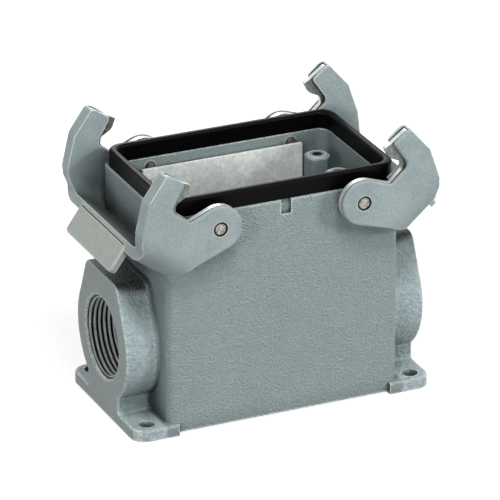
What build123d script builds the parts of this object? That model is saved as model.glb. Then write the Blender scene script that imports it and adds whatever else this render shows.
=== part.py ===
from build123d import *
from math import acos, atan2, cos, degrees, radians, sin, sqrt
import os

os.makedirs("parts", exist_ok=True)

# Surface mounting housing of a rectangular connector, with two locking levers.
# Millimetres. +X along the long side, +Y to the back, +Z up, origin at the centre of the base.

# Body
collar_length = 73.6
collar_width = 48.2
collar_corner_radius = 2.6
inner_corner_radius = 3.6
wall = 2.8
floor_thickness = 3.2
base_relief = 0.7
seat_rise = 23.8
edge_radius = 0.5

# Rim and its seal
seal_height = 5.3
seal_inset = 0.4
seal_corner_radius = 5.0
seal_edge_share = 0.36
rim_thickness = 1.0
rim_height = 3.8
rim_corner_radius = 4.2
seal_fit = 0.05

# Feet
foot_end_reach = 10.85
foot_side_reach = 1.1
foot_thickness = 3.6
foot_corner_radius = 4.6
foot_reach_inward = 13.8
foot_hole_radius = 2.45
foot_hole_end_inset = 5.25
foot_hole_side_inset = 4.5
foot_fillet = 0.8
foot_edge_radius = 0.6

# Conduit entries, one on each end
entry_height = 23.7
entry_radius = 12.55
entry_mouth_chamfer = 0.5
boss_radius = 18.9
boss_top_height = 44.5
boss_neck_half_width = 11.4
boss_top_half_width = 11.4
boss_corner_radius = 3.6
boss_flank_share = 0.27
boss_edge_radius = 0.7

# Fixing posts for the contact insert
post_end_inset = 11.8
post_spacing_y = 14.8
post_width = 6.8
post_corner_radius = 2.4
post_drop = 1.9
post_ring_radius = 2.9
post_ring_height = 0.4
post_thread_radius = 1.5
post_thread_depth = 14.0

# Coding notch in each long wall, just under the seat
notch_width = 3.1
notch_height = 4.4
notch_depth = 1.1
notch_offset = 0.6

# Screen plate, standing on the floor against the pin tips on the back wall
plate_overlap = 3.1
plate_thickness = 1.0
plate_top_drop = 3.1

# Pivots
pivot_end_inset = 14.1
pivot_drop = 2.9
pin_radius = 1.65
pin_tip_radius = 1.35
pin_tip_length = 0.8
pin_tip_edge = 0.3
pin_press_clearance = 0.01
pin_running_clearance = 0.05
pin_recess_radius = 2.2
pin_recess_depth = 0.6
pin_face_drop = 0.15
pad_radius = 2.7
pad_running_gap = 0.3

# Levers: a yoke of two arms, a bridge across the end and a handle tab
arm_gap = 1.4
arm_thickness = 4.8
lobe_radius = 6.9
lever_reach = 24.6
bridge_lean = 35.5
bridge_thickness = 3.0
bridge_inset = 4.2
bridge_corner_radius = 8.0
bridge_inner_radius = 5.0
wall_clearance = 0.35
tab_top_inset = 8.6
tab_overhang = 7.5
tab_width = 33.6
tab_thickness = 2.0
tab_corner_radius = 1.6
tab_edge_bevel = 0.4
tab_edge_slope = 40
tab_root_sink = 1.7
groove_width = 0.45
groove_depth = 0.4
groove_end_margin = 0.9
arm_edge_radius = 0.6
right_rest_turn = 5.5

# Steel hook plates, one inside each arm
hook_plate_thickness = 1.7
hook_slot_width = 3.0
hook_lobe_radius = 6.8
hook_slot_clearance = 0.2
pivot_relief_radius = 10.4

overrun = 5.0

# Outline of the yoke seen from the side: outward, up and corner radius, as shares of lever_reach.
# It starts at the notch beside the pivot and runs round the hook slot, the head and the bridge.
hook_side_shares = [(0.372, 0.144, 0.012), (0.585, 0.301, 0.065), (0.585, 0.378, 0.100)]
head_shares = [(0.440, 0.636, 0.037), (0.693, 0.816, 0.115), (0.894, 0.500, 0.240)]
outer_edge_shares = [(0.996, 0.065, 0.120), (0.984, -0.065, 0.080), (0.951, -0.160, 0.060)]
bridge_top_shares = [(0.951, -0.193, 0.000), (1.024, -0.366, 0.000)]
heel_shares = [(0.850, -0.660, 0.000), (0.642, -0.561, 0.100)]

# Outline of the hook plate, in the same shares, and the mouth of its slot on the head.
hook_root_shares = [(0.370, 0.140, 0.012), (0.545, 0.280, 0.061), (0.537, 0.378, 0.061)]
hook_beak_shares = [(0.394, 0.463, 0.122), (0.346, 0.593, 0.012), (0.439, 0.634, 0.012), (0.470, 0.655, 0.012)]
hook_rim_shares = [(0.662, 0.773, 0.050), (0.815, 0.500, 0.100), (0.862, 0.171, 0.060), (0.862, 0.045, 0.050)]
hook_foot_shares = [(0.780, -0.061, 0.050), (0.492, -0.266, 0.050), (0.346, -0.293, 0.030)]
slot_mouth_shares = [(0.430, 0.600), (0.667, 0.745), (0.577, 0.915), (0.325, 0.760)]

# Places that follow from the sizes above
half_length = collar_length / 2
half_width = collar_width / 2
half_foot = half_length + foot_end_reach
foot_width = collar_width + 2 * foot_side_reach
foot_hole_spacing_x = 2 * (half_foot - foot_hole_end_inset)
foot_hole_spacing_y = foot_width - 2 * foot_hole_side_inset
inner_length = collar_length - 2 * wall
inner_width = collar_width - 2 * wall
floor_height = base_relief + floor_thickness
seat_height = boss_top_height + seat_rise
post_height = seat_height - post_drop
post_spacing_x = 2 * (half_length - post_end_inset)
pivot_x = half_length - pivot_end_inset
pivot_z = seat_height - pivot_drop
plate_length = 2 * (pivot_x + plate_overlap)
arm_inner = half_width + arm_gap
arm_outer = arm_inner + arm_thickness
yoke_width = 2 * arm_outer
plate_inner = (arm_outer + arm_inner - hook_plate_thickness) / 2
lean = radians(bridge_lean)
bridge_outer = lever_reach - bridge_inset
tab_top = lever_reach - tab_top_inset
tab_root = bridge_outer - tab_root_sink
tab_reach = bridge_outer + tab_overhang


def scaled(shares):
    """Points in millimetres, from shares of the lever's reach."""
    return [(lever_reach * share[0], lever_reach * share[1]) for share in shares]


def touching(point, radius, turn):
    """Point where a line from a given point touches a circle about the pivot, on the given hand."""
    across, up = point
    angle = atan2(up, across) + turn * acos(radius / sqrt(across**2 + up**2))
    return (radius * cos(angle), radius * sin(angle))


def lobed_outline(shares, radius):
    """Corners and corner radii of a plate that ends in a round lobe about the pivot."""
    points = scaled(shares)
    corners = [touching(points[0], radius, 1)] + points + [touching(points[-1], radius, -1), (0, 0)]
    radii = [0] + [lever_reach * share[2] for share in shares] + [0, 0]
    return corners, radii


def side_plane(distance):
    """Upright plane facing the front, through the right pivot, at a distance behind it."""
    return Plane(origin=(pivot_x, distance, pivot_z), x_dir=(1, 0, 0), z_dir=(0, -1, 0))


def write(part, name):
    """Label a finished piece and write its file."""
    part.label = name
    export_step(part, f"parts/{name}.step")


# Housing: one casting, with feet, two entry bosses, rim, fixing posts and pivot pads
boss_slope_height = entry_height + boss_radius * boss_flank_share
boss_slope_half_width = boss_radius * sqrt(1 - boss_flank_share**2)
boss_depth = half_foot - half_length

with BuildPart() as housing:
    with BuildSketch(Plane.XY.offset(base_relief)):
        RectangleRounded(collar_length, collar_width, collar_corner_radius)
    extrude(amount=seat_height - base_relief)
    fillet(housing.faces().sort_by(Axis.Z)[-1].outer_wire().edges(), edge_radius)
    for end in (-1, 1):
        foot_x = end * (half_foot - foot_reach_inward / 2)
        with BuildSketch():
            with Locations((foot_x, 0)):
                Rectangle(foot_reach_inward, foot_width)
            fillet(vertices().group_by(Axis.X)[0 if end < 0 else -1], foot_corner_radius)
        extrude(amount=foot_thickness)
        boss_face = Plane(origin=(end * half_foot, 0, 0), x_dir=(0, end, 0), z_dir=(end, 0, 0))
        with BuildSketch(boss_face):
            with Locations((0, entry_height)):
                Circle(boss_radius)
            with Locations((0, entry_height / 2)):
                Rectangle(2 * boss_neck_half_width, entry_height)
            with BuildLine():
                Polyline(
                    (-boss_slope_half_width, boss_slope_height),
                    (boss_slope_half_width, boss_slope_height),
                    (boss_top_half_width, boss_top_height),
                    (-boss_top_half_width, boss_top_height),
                    close=True,
                )
            make_face()
            fillet(vertices().group_by(Axis.Y)[-1], boss_corner_radius)
        extrude(amount=-boss_depth - wall)
    foot_top = housing.faces().filter_by(Axis.Z).filter_by(
        lambda face: abs(face.center().Z - foot_thickness) < edge_radius
    )
    foot_rim = [edge for face in foot_top for edge in face.edges()]
    fillet(
        [edge for edge in foot_rim if abs(edge.center().X) > half_length + edge_radius
         and abs(edge.center().X) < half_foot - edge_radius
         and abs(edge.center().Y) < boss_neck_half_width + edge_radius],
        foot_fillet,
    )
    for end in (-1, 1):
        end_edges = housing.edges().filter_by(
            lambda edge: abs(edge.center().X - end * half_foot) < foot_edge_radius
            and edge.center().Z > foot_thickness + foot_fillet
        )
        fillet(end_edges, boss_edge_radius)
    # Pads that the levers turn on
    for side in (-1, 1):
        pad_face = Plane(origin=(0, side * (half_width - wall / 2), pivot_z), x_dir=(1, 0, 0), z_dir=(0, side, 0))
        with BuildSketch(pad_face):
            with Locations((-pivot_x, 0), (pivot_x, 0)):
                Circle(pad_radius)
        extrude(amount=plate_inner - pad_running_gap - half_width + wall / 2)
    # Rim that the seal sits on
    with BuildSketch(Plane.XY.offset(seat_height)):
        rim_length = collar_length - wall - seal_inset + rim_thickness
        rim_width = collar_width - wall - seal_inset + rim_thickness
        RectangleRounded(rim_length, rim_width, rim_corner_radius)
    extrude(amount=rim_height)
    with BuildSketch(Plane.XY.offset(seat_height)):
        RectangleRounded(
            rim_length - 2 * rim_thickness, rim_width - 2 * rim_thickness, rim_corner_radius - rim_thickness
        )
    extrude(amount=rim_height, mode=Mode.SUBTRACT)
    # Hollow
    with BuildSketch(Plane.XY.offset(floor_height)):
        RectangleRounded(inner_length, inner_width, inner_corner_radius)
    extrude(amount=seat_height - floor_height, mode=Mode.SUBTRACT)
    # Posts with a raised ring and a tapped hole
    with BuildSketch(Plane.XY.offset(floor_height - floor_thickness / 2)):
        with GridLocations(post_spacing_x, post_spacing_y, 2, 2):
            RectangleRounded(post_width, post_width, post_corner_radius)
    extrude(amount=post_height - post_ring_height - floor_height + floor_thickness / 2)
    with BuildSketch(Plane.XY.offset(post_height - post_ring_height)):
        with GridLocations(post_spacing_x, post_spacing_y, 2, 2):
            Circle(post_ring_radius)
    extrude(amount=post_ring_height)
    with BuildSketch(Plane.XY.offset(post_height)):
        with GridLocations(post_spacing_x, post_spacing_y, 2, 2):
            Circle(post_thread_radius)
    extrude(amount=-post_thread_depth, mode=Mode.SUBTRACT)
    # Conduit entries through the end walls
    for end in (-1, 1):
        mouth = Plane(origin=(end * half_foot, 0, entry_height), x_dir=(0, end, 0), z_dir=(end, 0, 0))
        with BuildSketch(mouth):
            Circle(entry_radius)
        extrude(amount=-boss_depth - wall - overrun, mode=Mode.SUBTRACT)
        mouth_edge = housing.edges().filter_by(GeomType.CIRCLE).filter_by(
            lambda edge: abs(edge.center().X - end * half_foot) < edge_radius
            and abs(edge.radius - entry_radius) < edge_radius
        )
        chamfer(mouth_edge, entry_mouth_chamfer)
    # Foot holes
    with BuildSketch():
        with GridLocations(foot_hole_spacing_x, foot_hole_spacing_y, 2, 2):
            Circle(foot_hole_radius)
    extrude(amount=foot_thickness + overrun, mode=Mode.SUBTRACT)
    # Holes for the pivot pins
    for side in (-1, 1):
        pin_face = Plane(origin=(0, side * arm_outer, pivot_z), x_dir=(1, 0, 0), z_dir=(0, side, 0))
        with BuildSketch(pin_face):
            with Locations((-pivot_x, 0), (pivot_x, 0)):
                Circle(pin_radius + pin_press_clearance)
        extrude(amount=-(arm_outer - half_width + wall + overrun), mode=Mode.SUBTRACT)
    # Coding notches
    for side in (-1, 1):
        notch_face = Plane(origin=(0, side * half_width, seat_height), x_dir=(1, 0, 0), z_dir=(0, side, 0))
        with BuildSketch(notch_face):
            with Locations((notch_offset, 0)):
                Rectangle(notch_width, 2 * notch_height)
        extrude(amount=-notch_depth, mode=Mode.SUBTRACT)
write(housing.part, "housing")

# Seal: a black U that is pushed over the rim
with BuildPart() as rim_seal:
    with BuildSketch(Plane.XY.offset(seat_height)):
        RectangleRounded(collar_length - 2 * seal_inset, collar_width - 2 * seal_inset, seal_corner_radius)
        RectangleRounded(inner_length, inner_width, inner_corner_radius, mode=Mode.SUBTRACT)
    extrude(amount=seal_height)
    fillet(rim_seal.faces().sort_by(Axis.Z)[-1].edges(), seal_edge_share * (wall - seal_inset))
    with BuildSketch(Plane.XY.offset(seat_height)):
        RectangleRounded(
            rim_length + 2 * seal_fit, rim_width + 2 * seal_fit, rim_corner_radius + seal_fit
        )
        RectangleRounded(
            rim_length - 2 * rim_thickness - 2 * seal_fit,
            rim_width - 2 * rim_thickness - 2 * seal_fit,
            rim_corner_radius - rim_thickness - seal_fit,
            mode=Mode.SUBTRACT,
        )
    extrude(amount=rim_height + seal_fit, mode=Mode.SUBTRACT)
write(rim_seal.part, "rim_seal")

# Screen plate
plate_back_y = inner_width / 2 - pin_tip_length
plate_height = seat_height - plate_top_drop - floor_height
with BuildPart() as screen_plate:
    with BuildSketch(Plane(origin=(0, plate_back_y, floor_height), x_dir=(1, 0, 0), z_dir=(0, -1, 0))):
        with Locations((0, plate_height / 2)):
            Rectangle(plate_length, plate_height)
    extrude(amount=plate_thickness)
write(screen_plate.part, "screen_plate")

# Levers. Each is drawn on the right side, mirrored for the left one and turned for the right one.
side_outline, side_radii = lobed_outline(
    hook_side_shares + head_shares + outer_edge_shares + bridge_top_shares + heel_shares, lobe_radius
)
hook_outline, hook_radii = lobed_outline(
    hook_root_shares + hook_beak_shares + hook_rim_shares + hook_foot_shares, hook_lobe_radius
)
yoke_plane = Plane(
    origin=(pivot_x, 0, pivot_z), x_dir=(sin(lean), 0, -cos(lean)), z_dir=(cos(lean), 0, sin(lean))
)
sweep_length = 2 * lever_reach
slot_middle = (arm_outer + arm_inner) / 2
slot_inner = slot_middle - hook_slot_width / 2

with BuildPart() as lever:
    # Side view of the yoke, with its outer edges rounded
    with BuildSketch(side_plane(arm_outer)):
        Circle(lobe_radius)
        with BuildLine():
            FilletPolyline(*side_outline, radius=side_radii, close=True)
        make_face()
    extrude(amount=yoke_width)
    fillet(lever.faces().filter_by(Axis.Y).edges(), arm_edge_radius)
    # Plan of the yoke: two arms joined by the bridge with rounded corners
    with BuildSketch(yoke_plane.offset(-sweep_length / 2)):
        with Locations(((bridge_outer - lever_reach) / 2, 0)):
            Rectangle(bridge_outer + lever_reach, yoke_width)
        fillet(vertices().group_by(Axis.X)[-1], bridge_corner_radius)
    extrude(amount=sweep_length, mode=Mode.INTERSECT)
    with BuildSketch(yoke_plane.offset(-sweep_length / 2)):
        inner_reach = bridge_outer - bridge_thickness
        with Locations(((inner_reach - lever_reach - overrun) / 2, 0)):
            Rectangle(inner_reach + lever_reach + overrun, 2 * arm_inner)
        fillet(vertices().group_by(Axis.X)[-1], bridge_inner_radius)
    extrude(amount=sweep_length, mode=Mode.SUBTRACT)
    # Handle tab along the top of the bridge
    with BuildSketch(yoke_plane.offset(tab_top - tab_edge_bevel)) as tab:
        with Locations(((tab_reach + tab_root) / 2, 0)):
            Rectangle(tab_reach - tab_root, tab_width)
        fillet(vertices().group_by(Axis.X)[-1], tab_corner_radius)
    extrude(amount=tab_edge_bevel - tab_thickness)
    extrude(tab.sketch, amount=tab_edge_bevel, taper=tab_edge_slope)
    # Groove along the root of the tab
    with BuildSketch(yoke_plane.offset(tab_top)):
        with Locations((tab_root + groove_width / 2, 0)):
            Rectangle(groove_width, tab_width - 2 * groove_end_margin)
    extrude(amount=groove_depth, both=True, mode=Mode.SUBTRACT)
    # Room for the body inside the yoke when the lever rests open
    with BuildSketch():
        RectangleRounded(
            collar_length + 2 * wall_clearance,
            collar_width + 2 * wall_clearance,
            collar_corner_radius + wall_clearance,
        )
    extrude(amount=pivot_z + lever_reach, mode=Mode.SUBTRACT)
    # Slots for the hook plates, with the inner wall cut away around the pivot
    for side in (-1, 1):
        with BuildSketch(side_plane(side * slot_middle)):
            Circle(hook_lobe_radius)
            with BuildLine():
                FilletPolyline(*hook_outline, radius=hook_radii, close=True)
            make_face()
            offset(amount=hook_slot_clearance)
            with BuildLine():
                Polyline(*scaled(slot_mouth_shares), close=True)
            make_face()
        extrude(amount=hook_slot_width / 2, both=True, mode=Mode.SUBTRACT)
        with BuildSketch(side_plane(side * arm_outer)):
            Circle(pin_recess_radius)
        extrude(amount=pin_recess_depth, both=True, mode=Mode.SUBTRACT)
    with BuildSketch(side_plane(slot_inner)):
        Circle(pivot_relief_radius)
    extrude(amount=2 * slot_inner, mode=Mode.SUBTRACT)
    with BuildSketch(side_plane(arm_outer)):
        Circle(pin_radius + pin_running_clearance)
    extrude(amount=yoke_width, mode=Mode.SUBTRACT)

pivot_line = Axis((pivot_x, 0, pivot_z), (0, 1, 0))
write(lever.part.rotate(pivot_line, -right_rest_turn), "right_lever")
write(mirror(lever.part, about=Plane.YZ), "left_lever")

for side, depth_name in ((-1, "front"), (1, "back")):
    with BuildPart() as hook:
        with BuildSketch(side_plane(side * slot_middle)):
            Circle(hook_lobe_radius)
            with BuildLine():
                FilletPolyline(*hook_outline, radius=hook_radii, close=True)
            make_face()
            Circle(pin_radius + pin_running_clearance, mode=Mode.SUBTRACT)
        extrude(amount=hook_plate_thickness / 2, both=True)
    write(hook.part.rotate(pivot_line, -right_rest_turn), f"right_{depth_name}_hook_plate")
    write(mirror(hook.part, about=Plane.YZ), f"left_{depth_name}_hook_plate")

# Pivot pins, pressed through the wall, with a slimmer tip on the inside
pin_length = arm_outer - pin_face_drop - inner_width / 2
for side, depth_name in ((-1, "front"), (1, "back")):
    for end, side_name in ((-1, "left"), (1, "right")):
        with BuildPart() as pivot_pin:
            pin_end = Plane(
                origin=(end * pivot_x, side * inner_width / 2, pivot_z), x_dir=(1, 0, 0), z_dir=(0, -side, 0)
            )
            with BuildSketch(pin_end):
                Circle(pin_radius)
            extrude(amount=-pin_length)
            with BuildSketch(pin_end):
                Circle(pin_tip_radius)
            extrude(amount=pin_tip_length, taper=degrees(atan2(pin_tip_edge, pin_tip_length)))
        write(pivot_pin.part, f"{side_name}_{depth_name}_pivot_pin")
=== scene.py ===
"""Looks of a surface mounting housing with two locking levers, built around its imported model."""

import logging
import math
from collections.abc import Callable
from dataclasses import dataclass
from enum import Enum
from itertools import product

import bmesh
import bpy
from mathutils import Matrix, Vector


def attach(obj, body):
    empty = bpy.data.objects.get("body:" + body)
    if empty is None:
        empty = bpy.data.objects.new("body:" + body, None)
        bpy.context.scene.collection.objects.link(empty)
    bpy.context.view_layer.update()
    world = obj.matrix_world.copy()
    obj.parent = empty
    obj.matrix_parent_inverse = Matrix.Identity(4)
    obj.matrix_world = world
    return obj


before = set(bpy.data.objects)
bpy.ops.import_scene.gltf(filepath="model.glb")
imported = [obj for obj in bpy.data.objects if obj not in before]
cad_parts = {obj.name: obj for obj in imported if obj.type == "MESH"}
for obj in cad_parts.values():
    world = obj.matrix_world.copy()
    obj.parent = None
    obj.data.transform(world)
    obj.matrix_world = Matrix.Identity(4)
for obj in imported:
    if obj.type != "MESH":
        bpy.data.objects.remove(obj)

logging.basicConfig(level=logging.INFO, format="%(message)s")
log = logging.getLogger("housing")

MM = 0.001
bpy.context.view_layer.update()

Levels = tuple[float, float, float]
Span = tuple[float, float]

# Places that finishes and pieces share, in millimetres from the middle and from the floor
ENTRY_HEIGHT = 23.7
POST_PLACE: Span = (25.0, 7.4)
PIVOT_PLACE: Span = (22.7, 65.4)

# Limits that hold nearly all values of a noise
NOISE: Span = (0.3, 0.7)


class Side(Enum):
    """End of the housing, as a sign along X."""

    LEFT = -1
    RIGHT = 1


class Wall(Enum):
    """Long wall of the housing, as a sign along Y."""

    FRONT = -1
    BACK = 1


# Shader maths


class Value:
    """One output of a shader node, with arithmetic that adds Math nodes."""

    def __init__(self, tree: "Tree", output: bpy.types.NodeSocket) -> None:
        """Keep the output and the tree that it belongs to."""
        self.tree = tree
        self.output = output

    def _math(self, operation: str, first: "Value | float", second: "Value | float") -> "Value":
        """Add one Math node.

        Args:
            operation: Name of the Math node's operation.
            first: Left operand.
            second: Right operand.

        Returns:
            The result as a value.
        """
        return self.tree.node("ShaderNodeMath", {"operation": operation}, {0: first, 1: second})

    def __add__(self, other: "Value | float") -> "Value":
        """Sum with another value."""
        return self._math("ADD", self, other)

    def __sub__(self, other: "Value | float") -> "Value":
        """Difference to another value."""
        return self._math("SUBTRACT", self, other)

    def __mul__(self, other: "Value | float") -> "Value":
        """Product with another value."""
        return self._math("MULTIPLY", self, other)

    def __radd__(self, other: float) -> "Value":
        """Sum with a number on the left."""
        return self._math("ADD", other, self)

    def __rsub__(self, other: float) -> "Value":
        """Difference from a number on the left."""
        return self._math("SUBTRACT", other, self)

    def __rmul__(self, other: float) -> "Value":
        """Product with a number on the left."""
        return self._math("MULTIPLY", other, self)

    def __abs__(self) -> "Value":
        """Size without its sign."""
        return self._math("ABSOLUTE", self, 0.0)

    def power(self, exponent: float) -> "Value":
        """Value raised to a fixed power."""
        return self._math("POWER", self, exponent)

    def largest(self, other: "Value | float") -> "Value":
        """Larger of this and another value."""
        return self._math("MAXIMUM", self, other)

    def mixed(self, other: "Value", share: float = 0.5) -> "Value":
        """Average with another value, which has the given share in it."""
        return self * (1 - share) + other * share

    def spread(self, least: float, most: float) -> "Value":
        """Value between 0 and 1, stretched between two numbers."""
        return self * (most - least) + least

    def ramp(self, start: float, end: float) -> "Value":
        """Smooth step between two numbers.

        Args:
            start: Value at which the result is 0.
            end: Value at which the result is 1.

        Returns:
            The smoothed value.
        """
        settings = {"interpolation_type": "SMOOTHSTEP"}
        return self.tree.node("ShaderNodeMapRange", settings, {0: self, 1: start, 2: end, 3: 0.0, 4: 1.0})


class Tree:
    """Node tree of a material or of the world."""

    def __init__(self, tree: bpy.types.NodeTree) -> None:
        """Keep the tree."""
        self.tree = tree

    def fill(self, node: bpy.types.Node, inputs: dict) -> None:
        """Set or link a node's inputs.

        Args:
            node: The node to fill.
            inputs: Socket name or number to a value or a link.
        """
        for key, value in inputs.items():
            socket = node.inputs[key]
            if isinstance(value, Value):
                self.tree.links.new(value.output, socket)
            else:
                socket.default_value = value

    def node(self, kind: str, settings: dict, inputs: dict, output: str | int = 0) -> Value:
        """Add one node.

        Args:
            kind: Blender's type name of the node.
            settings: Properties, set before the inputs.
            inputs: Socket name or number to a value or a link.
            output: Socket of the result.

        Returns:
            The chosen output as a value.
        """
        node = self.tree.nodes.new(kind)
        for key, value in settings.items():
            setattr(node, key, value)
        self.fill(node, inputs)
        return Value(self, node.outputs[output])

    def backdrop_rays(self) -> Value:
        """Mask of the rays that see a white backdrop.

        Returns:
            Value that is 1 for camera, mirror and transmission rays.
        """
        kinds = ("Is Camera Ray", "Is Glossy Ray", "Is Transmission Ray")
        camera, mirror, clear = (self.node("ShaderNodeLightPath", {}, {}, kind) for kind in kinds)
        return camera.largest(mirror).largest(clear)


class Graph(Tree):
    """Node tree of one material, ending in a single principled surface."""

    ray_samples: int = 8
    bevel_samples: int = 6
    soft_edge: float = 0.25
    corner_reach: float = 1.6
    corner_open: Span = (0.7, 0.9)

    def __init__(self, name: str) -> None:
        """Start an empty material.

        Args:
            name: Name of the material.
        """
        self.material = bpy.data.materials.new(name)
        self.material.use_nodes = True
        super().__init__(self.material.node_tree)
        self.tree.nodes.clear()
        self.surface = self.tree.nodes.new("ShaderNodeBsdfPrincipled")
        end = self.tree.nodes.new("ShaderNodeOutputMaterial")
        self.tree.links.new(self.surface.outputs[0], end.inputs[0])

    def place(self) -> Value:
        """Place on the object in metres."""
        return self.node("ShaderNodeTexCoord", {}, {}, "Object")

    def axis(self, letter: str) -> Value:
        """One coordinate of the place, in millimetres."""
        return self.node("ShaderNodeSeparateXYZ", {}, {0: self.place()}, letter) * (1 / MM)

    def facing(self, letter: str) -> Value:
        """How squarely the surface faces either way along one axis, from 0 to 1."""
        normal = self.node("ShaderNodeNewGeometry", {}, {}, "Normal")
        return abs(self.node("ShaderNodeSeparateXYZ", {}, {0: normal}, letter))

    def pin_radius(self) -> Value:
        """Distance in millimetres from the pivot axis at the same end of the object.

        Returns:
            The distance, alike at both ends.
        """
        across = abs(self.axis("X")) - PIVOT_PLACE[0]
        up = self.axis("Z") - PIVOT_PLACE[1]
        return (across * across + up * up).power(0.5)

    def noise(self, size: float, detail: float = 2.0, roughness: float = 0.5) -> Value:
        """Cloudy noise.

        Args:
            size: Size of one grain in millimetres.
            detail: Number of finer layers.
            roughness: Strength of the finer layers.

        Returns:
            Noise around one half.
        """
        scale = 1 / (size * MM)
        inputs = {"Vector": self.place(), "Scale": scale, "Detail": detail, "Roughness": roughness}
        return self.node("ShaderNodeTexNoise", {}, inputs)

    def streaks(self, scales: tuple[float, float, float]) -> Value:
        """Noise drawn out along the axes.

        Args:
            scales: Grains per millimetre along X, Y and Z.

        Returns:
            Noise around one half.
        """
        spread = tuple(scale / MM for scale in scales)
        drawn = self.node("ShaderNodeMapping", {}, {"Vector": self.place(), "Scale": spread})
        return self.node("ShaderNodeTexNoise", {}, {"Vector": drawn, "Scale": 1.0, "Detail": 3.0})

    def cells(self, size: float) -> Value:
        """Random shade of each cell of an irregular mesh.

        Args:
            size: Size of one cell in millimetres.

        Returns:
            A shade from 0 to 1.
        """
        inputs = {"Vector": self.place(), "Scale": 1 / (size * MM)}
        colour = self.node("ShaderNodeTexVoronoi", {}, inputs, "Color")
        return self.node("ShaderNodeSeparateXYZ", {}, {0: colour}, "X")

    def blend(self, share: Value, first: Value | tuple, second: Value | tuple) -> Value:
        """Mix two colours.

        Args:
            share: Share of the second colour.
            first: Colour at share 0.
            second: Colour at share 1.

        Returns:
            The mixed colour.
        """
        return self.node("ShaderNodeMix", {"data_type": "RGBA"}, {0: share, 6: first, 7: second}, 2)

    def openness(self, reach: float, alone: bool = False) -> Value:
        """Share of open space around the surface, which falls in corners and gaps.

        Args:
            reach: How far other surfaces count, in millimetres.
            alone: Whether only the object itself counts.

        Returns:
            Value between 0 in a closed gap and 1 in the open.
        """
        settings = {"samples": self.ray_samples, "only_local": alone}
        return self.node("ShaderNodeAmbientOcclusion", settings, {"Distance": reach * MM}, "AO")

    def edges(self, radius: float, least: float, full: float) -> Value:
        """Mask of outer edges.

        Args:
            radius: Width of an edge in millimetres.
            least: Bend of the surface at which the mask starts.
            full: Bend of the surface at which the mask is 1.

        Returns:
            Mask that is 1 along outer edges, rounded ones too.
        """
        rounded = self.node("ShaderNodeBevel", {"samples": self.ray_samples}, {"Radius": radius * MM})
        flat = self.node("ShaderNodeNewGeometry", {}, {}, "Normal")
        dot = {"operation": "DOT_PRODUCT"}
        alike = self.node("ShaderNodeVectorMath", dot, {0: rounded, 1: flat}, "Value")
        outer = self.openness(self.corner_reach, True).ramp(*self.corner_open)
        return (1 - alike).ramp(least, full) * outer

    def relief(self, height: Value, strength: float, depth: float) -> Value:
        """Normal that follows a height.

        Args:
            height: Height between 0 and 1.
            strength: Strength of the effect.
            depth: Height in millimetres that 1 stands for.

        Returns:
            The bent normal.
        """
        samples = {"samples": self.bevel_samples}
        soft = self.node("ShaderNodeBevel", samples, {"Radius": self.soft_edge * MM})
        inputs = {"Height": height, "Strength": strength, "Distance": depth * MM, "Normal": soft}
        return self.node("ShaderNodeBump", {}, inputs)

    def finish(self, inputs: dict) -> bpy.types.Material:
        """Fill the surface.

        Args:
            inputs: Socket names of the principled surface to values or links.

        Returns:
            The finished material.
        """
        self.fill(self.surface, inputs)
        return self.material


def linear(red: float, green: float, blue: float) -> tuple[float, float, float, float]:
    """Colour from screen levels between 0 and 255.

    Args:
        red: Red level.
        green: Green level.
        blue: Blue level.

    Returns:
        Linear colour with full alpha.
    """

    def channel(level: float) -> float:
        """One channel as linear light, by the usual screen curve."""
        share = level / 255
        return share / 12.92 if share <= 0.04045 else ((share + 0.055) / 1.055) ** 2.4

    return (channel(red), channel(green), channel(blue), 1.0)


# Finishes, with sizes in millimetres
# A span gives where a soft mask starts and where it is full, or the least and most of a value


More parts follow.
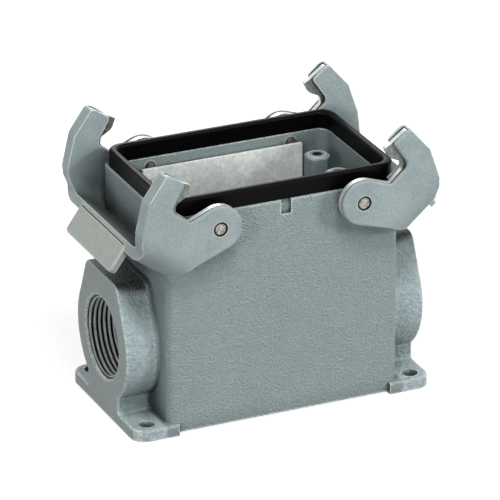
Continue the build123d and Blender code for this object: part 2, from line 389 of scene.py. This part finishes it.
@dataclass(frozen=True)
class HousingPaint:
    """Hammered grey coat over a rough casting, with cut threads and post tops left bare."""

    slot: str = "housing_paint"
    pale: Levels = (150, 166, 166)
    deep: Levels = (130, 146, 146)
    # Pale colour of the painted highlights on edges
    edge_glint: Levels = (212, 222, 221)
    # Paler colour of the painted sheen on the bosses' flanks
    flank_sheen: Levels = (176, 194, 198)
    bare: Levels = (204, 208, 209)
    # Near black, for the painted shade in thread grooves, tapped holes, corners and the cavity
    groove: Levels = (6, 7, 7)

    # Gloss: range of the roughness, how much smoother the ends are, and the metal of bare places
    roughness: Span = (0.32, 0.46)
    end_gloss: float = 0.08
    bare_metal: float = 0.25

    # Hammered peel, rough casting, fine grain and wide clouds: sizes and shares in shade and relief
    peel_size: float = 0.42
    cast_size: float = 1.1
    grain_size: float = 0.3
    cloud_size: float = 14.0
    peel_shade: float = 0.6
    grain_shade: float = 0.15
    cloud_shade: float = 0.25
    cast_relief: float = 1.5
    grain_relief: float = 0.1
    relief_strength: float = 1.0
    relief_depth: float = 0.85

    # How much flatter the peel is on the ends and inside
    end_calm: float = 0.55
    cavity_calm: float = 0.85

    # Painted sheen on the flanks of the bosses: how they face, the patches of the casting and the sheen's
    # share
    flank_facing: Span = (0.6, 0.3)
    flank_patch: Span = (0.38, 0.62)
    flank_share: Span = (0.4, 0.95)

    # Painted highlights on outer edges, on the rounded edge of a boss and on its seam, broken into
    # patches
    edge_width: float = 1.0
    edge_bend: Span = (0.002, 0.03)
    rim_turn: Span = (0.25, 0.4)
    rim_flat: Span = (0.97, 0.9)
    seam_turn: Span = (0.3, 0.2)
    seam_share: float = 0.35
    glint_patch: Span = (0.4, 0.55)
    glint_share: Span = (0.4, 1.0)

    # Painted shade in corners, under the levers and in the cavity: how far and how closed a corner is,
    # and how dark the painted shade gets
    corner_reach: float = 14.0
    cover_reach: float = 24.0
    wall_corner: Span = (0.68, 0.28)
    end_corner: Span = (0.42, 0.2)
    cover_open: Span = (0.75, 0.5)
    wall_shade: float = 0.9
    end_shade: float = 0.92
    cover_shade: float = 0.94
    cavity_shade: float = 0.38

    # Thread bores in the ends, whose grooves are filled with painted shade
    bore_mouth: Span = (46.95, 46.85)
    bore_end: Span = (33.8, 33.9)
    bore_wall: Span = (12.7, 12.6)
    bore_root: Span = (11.93, 12.17)

    # Posts: bare ring on top, and tapped hole filled with painted shade
    post_top: Span = (65.7, 65.8)
    post_rim: Span = (3.0, 2.9)
    post_ring: Span = (2.2, 2.5)
    post_hole: Span = (1.61, 1.55)
    post_hole_height: Span = (48.0, 52.0)
    ring_share: float = 0.8

    # Where the ends, the cavity and the parts of a boss lie
    outside: Span = (37.0, 38.5)
    cavity_end: Span = (34.2, 33.9)
    cavity_side: Span = (21.5, 21.2)
    boss_face: Span = (45.0, 45.6)
    boss_root: Span = (38.2, 38.6)
    boss_root_end: Span = (39.6, 39.2)
    boss_start: Span = (38.0, 39.0)
    boss_top: Span = (40.5, 43.0)

    def _bore(self, graph: Graph) -> tuple[Value, Value]:
        """Masks of the thread bores.

        Args:
            graph: The material's graph.

        Returns:
            Mask of the thread's grooves and mask of its crests.
        """
        across, along, up = graph.axis("Y"), abs(graph.axis("X")), graph.axis("Z") - ENTRY_HEIGHT
        radius = (across * across + up * up).power(0.5)
        wall = along.ramp(*self.bore_end) * along.ramp(*self.bore_mouth) * radius.ramp(*self.bore_wall)
        deep = radius.ramp(*self.bore_root)
        return wall * deep, wall * (1 - deep)

    def _posts(self, graph: Graph) -> tuple[Value, Value]:
        """Masks of the posts.

        Args:
            graph: The material's graph.

        Returns:
            Mask of the bare ring on each post and mask of its tapped hole, which gets painted shade.
        """
        across = abs(graph.axis("X")) - POST_PLACE[0]
        along = abs(graph.axis("Y")) - POST_PLACE[1]
        up = graph.axis("Z")
        radius = (across * across + along * along).power(0.5)
        ring = up.ramp(*self.post_top) * radius.ramp(*self.post_rim) * radius.ramp(*self.post_ring)
        return ring * self.ring_share, radius.ramp(*self.post_hole) * up.ramp(*self.post_hole_height)

    def material(self) -> bpy.types.Material:
        """Build the material.

        Returns:
            The finished material.
        """
        graph = Graph("HammeredHousingPaint")
        groove, crest = self._bore(graph)
        ring, hole = self._posts(graph)
        bare = crest.largest(ring)
        along, outward = abs(graph.axis("X")), graph.facing("X")
        ends = along.ramp(*self.outside)
        inside = along.ramp(*self.cavity_end) * abs(graph.axis("Y")).ramp(*self.cavity_side)

        # Coat, with a painted sheen that makes the bosses' flanks paler
        peel = graph.noise(self.peel_size, detail=1.0, roughness=0.4)
        cast = graph.noise(self.cast_size, detail=4.0, roughness=0.65)
        grain = graph.noise(self.grain_size)
        clouds = graph.noise(self.cloud_size)
        shade = peel.ramp(*NOISE) * self.peel_shade + grain * self.grain_shade + clouds * self.cloud_shade
        coat = graph.blend(shade, linear(*self.deep), linear(*self.pale))
        flank_sheen = ends * outward.ramp(*self.flank_facing)
        flank_sheen = flank_sheen * cast.ramp(*self.flank_patch).spread(*self.flank_share)
        paint = graph.blend(flank_sheen, coat, linear(*self.flank_sheen))

        # Painted highlights along outer edges and along the seams of the bosses
        rim = along.ramp(*self.boss_face) * outward.ramp(*self.rim_turn) * outward.ramp(*self.rim_flat)
        seam = along.ramp(*self.boss_root) * along.ramp(*self.boss_root_end)
        seam = seam * outward.ramp(*self.seam_turn)
        edge = graph.edges(self.edge_width, *self.edge_bend)
        edge_glint = edge.largest(rim).largest(seam * self.seam_share)
        edge_glint = edge_glint * cast.ramp(*self.glint_patch).spread(*self.glint_share)
        wear_and_glint = graph.blend(edge_glint, paint, linear(*self.edge_glint))

        # Painted shade in corners, on the boss tops under the levers and inside the cavity, darker where
        # each place is more closed in
        space = graph.openness(self.corner_reach)
        wall_shade = space.ramp(*self.wall_corner) * (1 - ends) * self.wall_shade
        end_shade = space.ramp(*self.end_corner) * ends * self.end_shade
        covered = along.ramp(*self.boss_start) * graph.axis("Z").ramp(*self.boss_top)
        covered = covered * graph.openness(self.cover_reach).ramp(*self.cover_open) * self.cover_shade
        occlusion_shade = (wall_shade + end_shade).largest(inside * self.cavity_shade).largest(covered)
        shaded = graph.blend(occlusion_shade, wear_and_glint, linear(*self.groove))

        # Bare metal, and the height of coat and casting
        cut = graph.blend(bare, shaded, linear(*self.bare))
        hammered = peel * (1 - ends * self.end_calm - inside * self.cavity_calm)
        height = hammered + cast * ends * self.cast_relief + grain * self.grain_relief
        return graph.finish({
            # Painted shade fills the thread grooves and the posts' tapped holes
            "Base Color": graph.blend(groove.largest(hole), cut, linear(*self.groove)),
            "Roughness": grain.spread(*self.roughness) - ends * self.end_gloss,
            "Metallic": bare * self.bare_metal,
            "Normal": graph.relief(height, self.relief_strength, self.relief_depth),
        })


@dataclass(frozen=True)
class LeverPaint:
    """Smooth satin grey coat, with painted highlights on its edges, painted shade in its gaps and round
    its pins, and warmer on the handle tab.
    """

    slot: str = "lever_paint"
    pale: Levels = (160, 172, 172)
    deep: Levels = (130, 147, 150)
    # Pale colour of the painted highlights on edges
    edge_glint: Levels = (218, 225, 222)
    # Near black, for the painted shade in gaps and round the pins
    gap: Levels = (5, 6, 6)
    handled: Levels = (175, 181, 170)
    roughness: Span = (0.34, 0.46)
    cloud_size: float = 7.0
    flow_size: float = 2.6
    grain_size: float = 0.35
    grain_share: float = 0.6
    handled_share: Span = (0.5, 0.9)
    edge_width: float = 0.6
    edge_bend: Span = (0.004, 0.06)
    edge_share: Span = (0.7, 1.1)
    # Painted shade where other surfaces close in: reach, openness and strength
    gap_reach: float = 20.0
    gap_open: Span = (0.85, 0.3)
    gap_shade: float = 0.8
    flow_relief: float = 0.3
    relief_strength: float = 0.9
    relief_depth: float = 0.5
    # Radii of the ring round each pin that gets painted shade
    pin_ring: Span = (2.3, 2.2)
    tab_start: Span = (41.0, 42.0)
    tab_side: Span = (16.9, 16.7)

    def material(self) -> bpy.types.Material:
        """Build the material.

        Returns:
            The finished material.
        """
        graph = Graph("SatinLeverPaint")
        clouds = graph.noise(self.cloud_size)
        grain = graph.noise(self.grain_size, detail=2.5)
        flow = graph.noise(self.flow_size)
        shade = clouds.ramp(*NOISE).mixed(grain.ramp(*NOISE), self.grain_share)
        paint = graph.blend(shade, linear(*self.deep), linear(*self.pale))
        tab = abs(graph.axis("X")).ramp(*self.tab_start) * abs(graph.axis("Y")).ramp(*self.tab_side)
        handled = tab * flow.ramp(*NOISE).spread(*self.handled_share)
        touched = graph.blend(handled, paint, linear(*self.handled))
        # Painted highlights along the lever's outer edges
        edge_glint = graph.edges(self.edge_width, *self.edge_bend) * grain.spread(*self.edge_share)
        wear_and_glint = graph.blend(edge_glint, touched, linear(*self.edge_glint))
        # Painted shade where other surfaces close in, such as on the arms' inner faces
        occlusion_shade = graph.openness(self.gap_reach).ramp(*self.gap_open) * self.gap_shade
        shaded = graph.blend(occlusion_shade, wear_and_glint, linear(*self.gap))
        # Painted shade in the recess ring round each pivot pin
        ring = graph.pin_radius().ramp(*self.pin_ring)
        height = grain.mixed(flow, self.flow_relief)
        return graph.finish({
            "Base Color": graph.blend(ring, shaded, linear(*self.gap)),
            "Roughness": grain.spread(*self.roughness),
            "Normal": graph.relief(height, self.relief_strength, self.relief_depth),
        })


@dataclass(frozen=True)
class SealRubber:
    """Smooth black rubber with a faint bloom in patches."""

    slot: str = "seal_rubber"
    black: Levels = (3, 3, 4)
    bloom: Levels = (12, 13, 14)
    roughness: Span = (0.3, 0.46)
    shine: float = 0.07
    dust_size: float = 1.4
    dust_patch: Span = (0.55, 0.85)
    wave_size: float = 5.0
    wave_relief: float = 0.65
    relief_strength: float = 0.25
    relief_depth: float = 0.15

    def material(self) -> bpy.types.Material:
        """Build the material.

        Returns:
            The finished material.
        """
        graph = Graph("SealRubber")
        dust = graph.noise(self.dust_size, detail=5.0, roughness=0.65)
        waves = graph.noise(self.wave_size, detail=1.0)
        bloom = dust.ramp(*self.dust_patch)
        height = dust.mixed(waves, self.wave_relief)
        return graph.finish({
            "Base Color": graph.blend(bloom, linear(*self.black), linear(*self.bloom)),
            "Roughness": dust.spread(*self.roughness),
            "Specular IOR Level": self.shine,
            "Normal": graph.relief(height, self.relief_strength, self.relief_depth),
        })


@dataclass(frozen=True)
class StampedSteel:
    """Plated sheet with drawn streaks, with a painted highlight along its cut edges and painted shade in
    its gaps.
    """

    slot: str = "hook_steel"
    # Pale colour of the painted highlight on cut edges
    bright: Levels = (226, 232, 229)
    dull: Levels = (98, 103, 95)
    # Near black, for the painted shade in the gaps beside the plate
    gap: Levels = (5, 6, 5)
    metal: Span = (0.45, 0.55)
    roughness: Span = (0.24, 0.44)
    streaks: tuple[float, float, float] = (1.2, 5.0, 1.2)
    spot_size: float = 0.9
    spot_patch: Span = (0.65, 0.35)
    cut_facing: Span = (0.8, 0.5)
    cut_share: float = 0.8
    gap_reach: float = 2.0
    gap_open: Span = (0.6, 0.2)
    relief_strength: float = 0.3
    relief_depth: float = 0.08

    def material(self) -> bpy.types.Material:
        """Build the material.

        Returns:
            The finished material.
        """
        graph = Graph("StampedSteel")
        streaks = graph.streaks(self.streaks)
        spots = graph.noise(self.spot_size, detail=4.0, roughness=0.6)
        # Painted highlight on the cut edges, mixed with random rubbed spots
        cut = graph.facing("Y").ramp(*self.cut_facing)
        wear_and_glint = spots.ramp(*self.spot_patch).mixed(cut, self.cut_share)
        sheet = graph.blend(wear_and_glint, linear(*self.dull), linear(*self.bright))
        # Painted shade in the narrow gaps between the plate and the arm's walls
        occlusion_shade = graph.openness(self.gap_reach).ramp(*self.gap_open)
        return graph.finish({
            "Base Color": graph.blend(occlusion_shade, sheet, linear(*self.gap)),
            "Metallic": spots.spread(*self.metal),
            "Roughness": streaks.spread(*self.roughness),
            "Normal": graph.relief(streaks, self.relief_strength, self.relief_depth),
        })


@dataclass(frozen=True)
class PinSteel:
    """Turned steel with rings around each pin's own axis and a dented, stained end."""

    slot: str = "pin_steel"
    bright: Levels = (178, 174, 166)
    dull: Levels = (92, 88, 82)
    metal: Span = (0.7, 0.8)
    roughness: Span = (0.25, 0.5)
    ring_density: float = 28.0
    dent_size: float = 0.7
    dent_patch: Span = (0.42, 0.6)
    dent_stain: float = 0.75
    rim_stain: float = 0.3
    dent_relief: float = 0.7
    inner_end: Span = (22.4, 21.4)
    outer_rim: Span = (1.35, 1.6)
    relief_strength: float = 0.6
    relief_depth: float = 0.2

    def material(self) -> bpy.types.Material:
        """Build the material.

        Returns:
            The finished material.
        """
        graph = Graph("TurnedPinSteel")
        radius = graph.pin_radius()
        waves = graph.node("ShaderNodeMath", {"operation": "SINE"}, {0: radius * self.ring_density})
        rings = waves * 0.5 + 0.5  # From the sine's -1 to 1 to the range 0 to 1
        dents = graph.noise(self.dent_size, detail=3.0, roughness=0.6)
        dented = dents.ramp(*self.dent_patch) * self.dent_stain
        stain = dented + radius.ramp(*self.outer_rim) * self.rim_stain
        stain = stain.largest(abs(graph.axis("Y")).ramp(*self.inner_end))
        height = rings.mixed(dents, self.dent_relief)
        return graph.finish({
            "Base Color": graph.blend(stain, linear(*self.bright), linear(*self.dull)),
            "Metallic": dents.spread(*self.metal),
            "Roughness": dents.spread(*self.roughness),
            "Normal": graph.relief(height, self.relief_strength, self.relief_depth),
        })


@dataclass(frozen=True)
class PlateZinc:
    """Dull galvanised sheet with a fine spangle."""

    slot: str = "plate_zinc"
    pale: Levels = (240, 243, 238)
    deep: Levels = (210, 217, 213)
    metal: Span = (0.05, 0.15)
    roughness: Span = (0.42, 0.56)
    spangle_size: float = 1.3
    fleck_size: float = 0.6
    cloud_size: float = 5.0
    grain_size: float = 0.4
    shade_span: Span = (0.25, 0.75)
    relief_strength: float = 0.2
    relief_depth: float = 0.08

    def material(self) -> bpy.types.Material:
        """Build the material.

        Returns:
            The finished material.
        """
        graph = Graph("GalvanisedSheet")
        spangle = graph.cells(self.spangle_size).mixed(graph.cells(self.fleck_size))
        clouds = graph.noise(self.cloud_size, detail=3.0)
        shade = spangle.mixed(clouds).ramp(*self.shade_span)
        height = spangle.mixed(graph.noise(self.grain_size))
        return graph.finish({
            "Base Color": graph.blend(shade, linear(*self.deep), linear(*self.pale)),
            "Metallic": clouds.spread(*self.metal),
            "Roughness": spangle.spread(*self.roughness),
            "Normal": graph.relief(height, self.relief_strength, self.relief_depth),
        })


class Finishes:
    """Each finish of the object, built once and handed out."""

    def __init__(self) -> None:
        """Build every material."""
        kinds = (HousingPaint(), LeverPaint(), SealRubber(), StampedSteel(), PinSteel(), PlateZinc())
        self.materials = {finish.slot: finish.material() for finish in kinds}

    def coat_node(self, name: str, slot: str) -> None:
        """Give a carried-over node its finish.

        Args:
            name: Name of the node.
            slot: The record's slot.
        """
        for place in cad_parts[name].material_slots:
            place.material = self.materials[slot]
        log.info("node %s: %s", name, slot)

    def coat_piece(self, piece: bpy.types.Object, slot: str) -> None:
        """Give a new piece its finish and name the slot that it belongs to.

        Args:
            piece: The new piece.
            slot: The record's slot.
        """
        piece.data.materials.clear()
        piece.data.materials.append(self.materials[slot])
        log.info("piece %s: %s", piece.name, slot)


# Mesh helpers


def deselect() -> None:
    """Leave edit mode and deselect every object."""
    if bpy.context.object and bpy.context.object.mode != "OBJECT":
        bpy.ops.object.mode_set(mode="OBJECT")
    bpy.ops.object.select_all(action="DESELECT")


def pick_points(piece: bpy.types.Object, test: Callable[[bmesh.types.BMVert], bool]) -> None:
    """Select the points of a piece in edit mode that pass a test.

    Args:
        piece: The piece being edited.
        test: Takes one point and says whether it is wanted.
    """
    bpy.ops.mesh.select_mode(type="VERT")
    bpy.ops.mesh.select_all(action="DESELECT")
    shape = bmesh.from_edit_mesh(piece.data)
    for point in shape.verts:
        if test(point):
            point.select_set(True)
    shape.select_flush_mode()
    bmesh.update_edit_mesh(piece.data)


def settle(piece: bpy.types.Object, name: str, sharp_angle: float) -> bpy.types.Object:
    """Put a finished piece at the origin with its place in its mesh, and shade it.

    Args:
        piece: The piece.
        name: Its name.
        sharp_angle: Edges sharper than this many degrees stay sharp.

    Returns:
        The same piece.
    """
    deselect()
    piece.select_set(True)
    bpy.context.view_layer.objects.active = piece
    bpy.ops.object.transform_apply(location=True, rotation=True, scale=True)
    bpy.ops.object.shade_smooth_by_angle(angle=math.radians(sharp_angle))
    piece.name = name
    piece.data.name = name
    return piece


def twin(piece: bpy.types.Object, name: str, change: Matrix) -> bpy.types.Object:
    """Copy a finished piece with a mesh of its own.

    Args:
        piece: The piece to copy.
        name: Name of the copy.
        change: Turn and shift of the copy.

    Returns:
        The copy.
    """
    copy = piece.copy()
    copy.data = piece.data.copy()
    bpy.context.scene.collection.objects.link(copy)
    copy.data.transform(change)
    copy.name = name
    copy.data.name = name
    return copy


# Threads


@dataclass(frozen=True)
class Thread:
    """Ridge of an internal thread along X, in millimetres.

    The root is the bore's wall, and the ridge reaches a little into it. Shares are of the pitch.
    """

    name: str
    root_radius: float
    depth: float
    pitch: float
    crest_share: float
    start: float
    end: float
    steps: int
    sunk: float = 0.12
    base_share: float = 0.84
    lead_turns: float = 1.5
    spare_turns: int = 2
    join_distance: float = 0.001
    sharp_angle: float = 25.0

    def _section(self) -> bpy.types.Object:
        """Draw the ridge's section in the XZ plane, wide at the root and narrow at the crest.

        Returns:
            The section as an outline, ahead of the thread's start.
        """
        base = self.root_radius + self.sunk
        crest = self.root_radius - self.depth
        middle = (base + crest) / 2 * MM
        first = (self.start - self.lead_turns * self.pitch) * MM
        deselect()
        bpy.ops.mesh.primitive_plane_add(size=1.0, location=(0, 0, 0), rotation=(math.pi / 2, 0, 0))
        piece = bpy.context.object
        bpy.ops.object.transform_apply(location=False, rotation=True, scale=True)
        bpy.ops.object.mode_set(mode="EDIT")
        bpy.ops.mesh.select_all(action="SELECT")
        bpy.ops.transform.resize(value=(self.pitch * self.base_share * MM, 1, (base - crest) * MM))
        bpy.ops.transform.translate(value=(first, 0, middle))
        pick_points(piece, lambda point: point.co.z < middle)
        narrowing = self.crest_share / self.base_share
        bpy.ops.transform.resize(value=(narrowing, 1, 1), center_override=(first, 0, 0))
        bpy.ops.mesh.select_all(action="SELECT")
        bpy.ops.mesh.delete(type="ONLY_FACE")
        bpy.ops.object.mode_set(mode="OBJECT")
        return piece

    def _wind(self, piece: bpy.types.Object) -> None:
        """Wind the section round the X axis.

        Args:
            piece: The section.
        """
        screw = piece.modifiers.new("turns", "SCREW")
        screw.axis = "X"
        screw.screw_offset = self.pitch * MM
        screw.iterations = math.ceil((self.end - self.start) / self.pitch) + self.spare_turns
        screw.steps = screw.render_steps = self.steps
        screw.use_merge_vertices = False
        bpy.ops.object.modifier_apply(modifier=screw.name)

    def _trim(self) -> None:
        """Close the ridge that is being edited, and cut it square at its start and end."""
        bpy.ops.mesh.select_mode(type="EDGE")
        bpy.ops.mesh.select_all(action="DESELECT")
        bpy.ops.mesh.select_non_manifold()
        bpy.ops.mesh.fill_holes(sides=4)
        for place, outward in ((self.start, -1), (self.end, 1)):
            bpy.ops.mesh.select_all(action="SELECT")
            bpy.ops.mesh.bisect(
                plane_co=(place * MM, 0, 0), plane_no=(outward, 0, 0), clear_outer=True, use_fill=True
            )
        bpy.ops.mesh.select_all(action="SELECT")
        bpy.ops.mesh.remove_doubles(threshold=self.join_distance * MM)
        bpy.ops.mesh.normals_make_consistent(inside=False)

    def build(self, height: float = 0.0) -> bpy.types.Object:
        """Build the ridge along X, from start to end.

        Args:
            height: Height of the thread's axis.

        Returns:
            The ridge as one closed piece.
        """
        piece = self._section()
        self._wind(piece)
        bpy.ops.object.mode_set(mode="EDIT")
        self._trim()
        bpy.ops.transform.translate(value=(0, 0, height * MM))
        bpy.ops.object.mode_set(mode="OBJECT")
        return settle(piece, self.name, self.sharp_angle)


@dataclass(frozen=True)
class EntryThreads:
    """Threads of the two conduit entries."""

    height: float = ENTRY_HEIGHT
    thread: Thread = Thread(
        name="left_entry_thread",
        root_radius=12.55,
        depth=0.85,
        pitch=1.5,
        crest_share=0.32,
        start=-46.75,
        end=-34.0,
        steps=96,
    )

    def build(self, finishes: Finishes) -> None:
        """Build, place and dress both threads.

        Args:
            finishes: The object's finishes.
        """
        left = self.thread.build(self.height)
        right = twin(left, "right_entry_thread", Matrix.Rotation(math.pi, 4, "Z"))
        for piece in (left, right):
            finishes.coat_piece(piece, "housing_paint")
            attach(piece, "housing")


@dataclass(frozen=True)
class PostThreads:
    """Threads of the four posts that take the insert's screws."""

    top: float = 66.3
    thread: Thread = Thread(
        name="post_thread_0",
        root_radius=1.5,
        depth=0.25,
        pitch=0.5,
        crest_share=0.3,
        start=0.0,
        end=12.0,
        steps=20,
        sunk=0.04,
    )

    def build(self, finishes: Finishes) -> None:
        """Build one thread, stand a copy upright in each post and dress it.

        Args:
            finishes: The object's finishes.
        """
        first = self.thread.build()
        upright = Matrix.Rotation(math.pi / 2, 4, "Y")
        across, along = POST_PLACE
        for number, (side, wall) in enumerate(product(Side, Wall), start=1):
            place = Vector((side.value * across, wall.value * along, self.top)) * MM
            piece = twin(first, f"post_thread_{number}", Matrix.Translation(place) @ upright)
            finishes.coat_piece(piece, "housing_paint")
            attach(piece, "housing")
        bpy.data.objects.remove(first)


# Studio


@dataclass(frozen=True)
class PhotoCamera:
    """Camera at the photograph's angle."""

    azimuth: float = -24.054
    elevation: float = 23.667
    roll: float = -0.193
    distance: float = 1.4178
    target: tuple[float, float, float] = (-0.00012, 0.0, 0.04284)
    focal_pixels: float = 4819.0
    image_width: float = 500.0
    sensor: float = 36.0
    clip: Span = (0.1, 20.0)

    def build(self) -> None:
        """Add the camera and make it the scene's."""
        turn, lift = math.radians(self.azimuth), math.radians(self.elevation)
        flat = math.cos(lift)
        back = Vector((math.sin(turn) * flat, -math.cos(turn) * flat, math.sin(lift)))
        right = Vector((0, 0, 1)).cross(back).normalized()
        up = back.cross(right)
        rotation = Matrix((right, up, back)).transposed().to_4x4()
        data = bpy.data.cameras.new("photo_camera")
        data.sensor_width = self.sensor
        data.lens = self.sensor * self.focal_pixels / self.image_width
        data.clip_start, data.clip_end = self.clip
        camera = bpy.data.objects.new("photo_camera", data)
        camera.matrix_world = (
            Matrix.Translation(Vector(self.target) + back * self.distance)
            @ rotation
            @ Matrix.Rotation(math.radians(self.roll), 4, "Z")
        )
        bpy.context.scene.collection.objects.link(camera)
        bpy.context.scene.camera = camera
        log.info("camera: lens %.1f mm", data.lens)


@dataclass(frozen=True)
class SoftBox:
    """One square studio lamp that points at the middle of the object, in metres and watts."""

    name: str
    place: tuple[float, float, float]
    size: float
    power: float
    aim_height: float = 0.04

    def build(self) -> None:
        """Add the lamp."""
        data = bpy.data.lights.new(self.name, "AREA")
        data.shape = "SQUARE"
        data.size = self.size
        data.energy = self.power
        lamp = bpy.data.objects.new(self.name, data)
        lamp.location = self.place
        aim = Vector((0, 0, self.aim_height)) - Vector(self.place)
        lamp.rotation_euler = aim.to_track_quat("-Z", "Y").to_euler()
        bpy.context.scene.collection.objects.link(lamp)
        log.info("lamp %s: %.1f W", self.name, self.power)


@dataclass(frozen=True)
class Studio:
    """White floor, white surroundings and soft lamps.

    The floor's glow rises to full white between two distances from the object, in metres.
    """

    floor_size: float = 6.0
    floor_shade: float = 0.3
    floor_roughness: float = 0.9
    floor_glow: float = 0.82
    glow_start: float = 0.12
    glow_full: float = 0.32
    surroundings: float = 0.22
    lamps: tuple[SoftBox, ...] = (
        SoftBox("key_lamp", (0.9, -0.95, 0.55), 0.3, 9.5),
        SoftBox("left_lamp", (-1.15, -0.85, 0.5), 0.35, 7.5),
        SoftBox("top_lamp", (-0.1, -0.7, 1.3), 0.35, 11.5),
        SoftBox("back_lamp", (0.3, 1.3, 0.6), 0.5, 5.0),
    )

    def _floor(self) -> None:
        """Add the floor, which glows enough to look white and keeps the object's shadow."""
        deselect()
        bpy.ops.mesh.primitive_plane_add(size=self.floor_size, location=(0, 0, 0))
        floor = bpy.context.object
        floor.name = "floor"
        graph = Graph("WhiteFloor")
        length = {"operation": "LENGTH"}
        reach = graph.node("ShaderNodeVectorMath", length, {0: graph.place()}, "Value")
        limits = {0: reach, 1: self.glow_start, 2: self.glow_full, 3: self.floor_glow, 4: 1.0}
        glow = graph.node("ShaderNodeMapRange", {}, limits)
        floor.data.materials.append(graph.finish({
            "Base Color": (self.floor_shade,) * 3 + (1.0,),
            "Roughness": self.floor_roughness,
            "Specular IOR Level": 0.0,
            "Emission Color": graph.backdrop_rays() * glow,
            "Emission Strength": 1.0,
        }))

    def _surroundings(self) -> None:
        """Add white surroundings, which light the object only softly."""
        world = bpy.data.worlds.new("studio")
        bpy.context.scene.world = world
        world.use_nodes = True
        tree = Tree(world.node_tree)
        limits = {0: tree.backdrop_rays(), 3: self.surroundings, 4: 1.0}
        strength = tree.node("ShaderNodeMapRange", {}, limits)
        background = world.node_tree.nodes["Background"]
        tree.fill(background, {"Color": (1, 1, 1, 1), "Strength": strength})

    def build(self) -> None:
        """Add the floor, the surroundings and the lamps."""
        self._floor()
        self._surroundings()
        for lamp in self.lamps:
            lamp.build()
        bpy.context.scene.view_settings.view_transform = "Standard"


# Whole object


@dataclass
class ConnectorHousing:
    """The whole object: its carried-over nodes dressed, and its new pieces."""

    finishes: Finishes
    entry_threads: EntryThreads
    post_threads: PostThreads

    def dress_nodes(self) -> None:
        """Give each carried-over node its finish."""
        slots = {"housing": "housing_paint", "rim_seal": "seal_rubber", "screen_plate": "plate_zinc"}
        for side in Side:
            end = side.name.lower()
            slots[f"{end}_lever"] = "lever_paint"
            for wall in Wall:
                place = f"{end}_{wall.name.lower()}"
                slots[f"{place}_hook_plate"] = "hook_steel"
                slots[f"{place}_pivot_pin"] = "pin_steel"
        for name, slot in slots.items():
            self.finishes.coat_node(name, slot)

    def build(self) -> None:
        """Dress the nodes and build the new pieces."""
        self.dress_nodes()
        self.entry_threads.build(self.finishes)
        self.post_threads.build(self.finishes)


def main() -> None:
    """Build the object, the studio and the camera."""
    ConnectorHousing(Finishes(), EntryThreads(), PostThreads()).build()
    Studio().build()
    PhotoCamera().build()


if __name__ == "__main__":
    main()
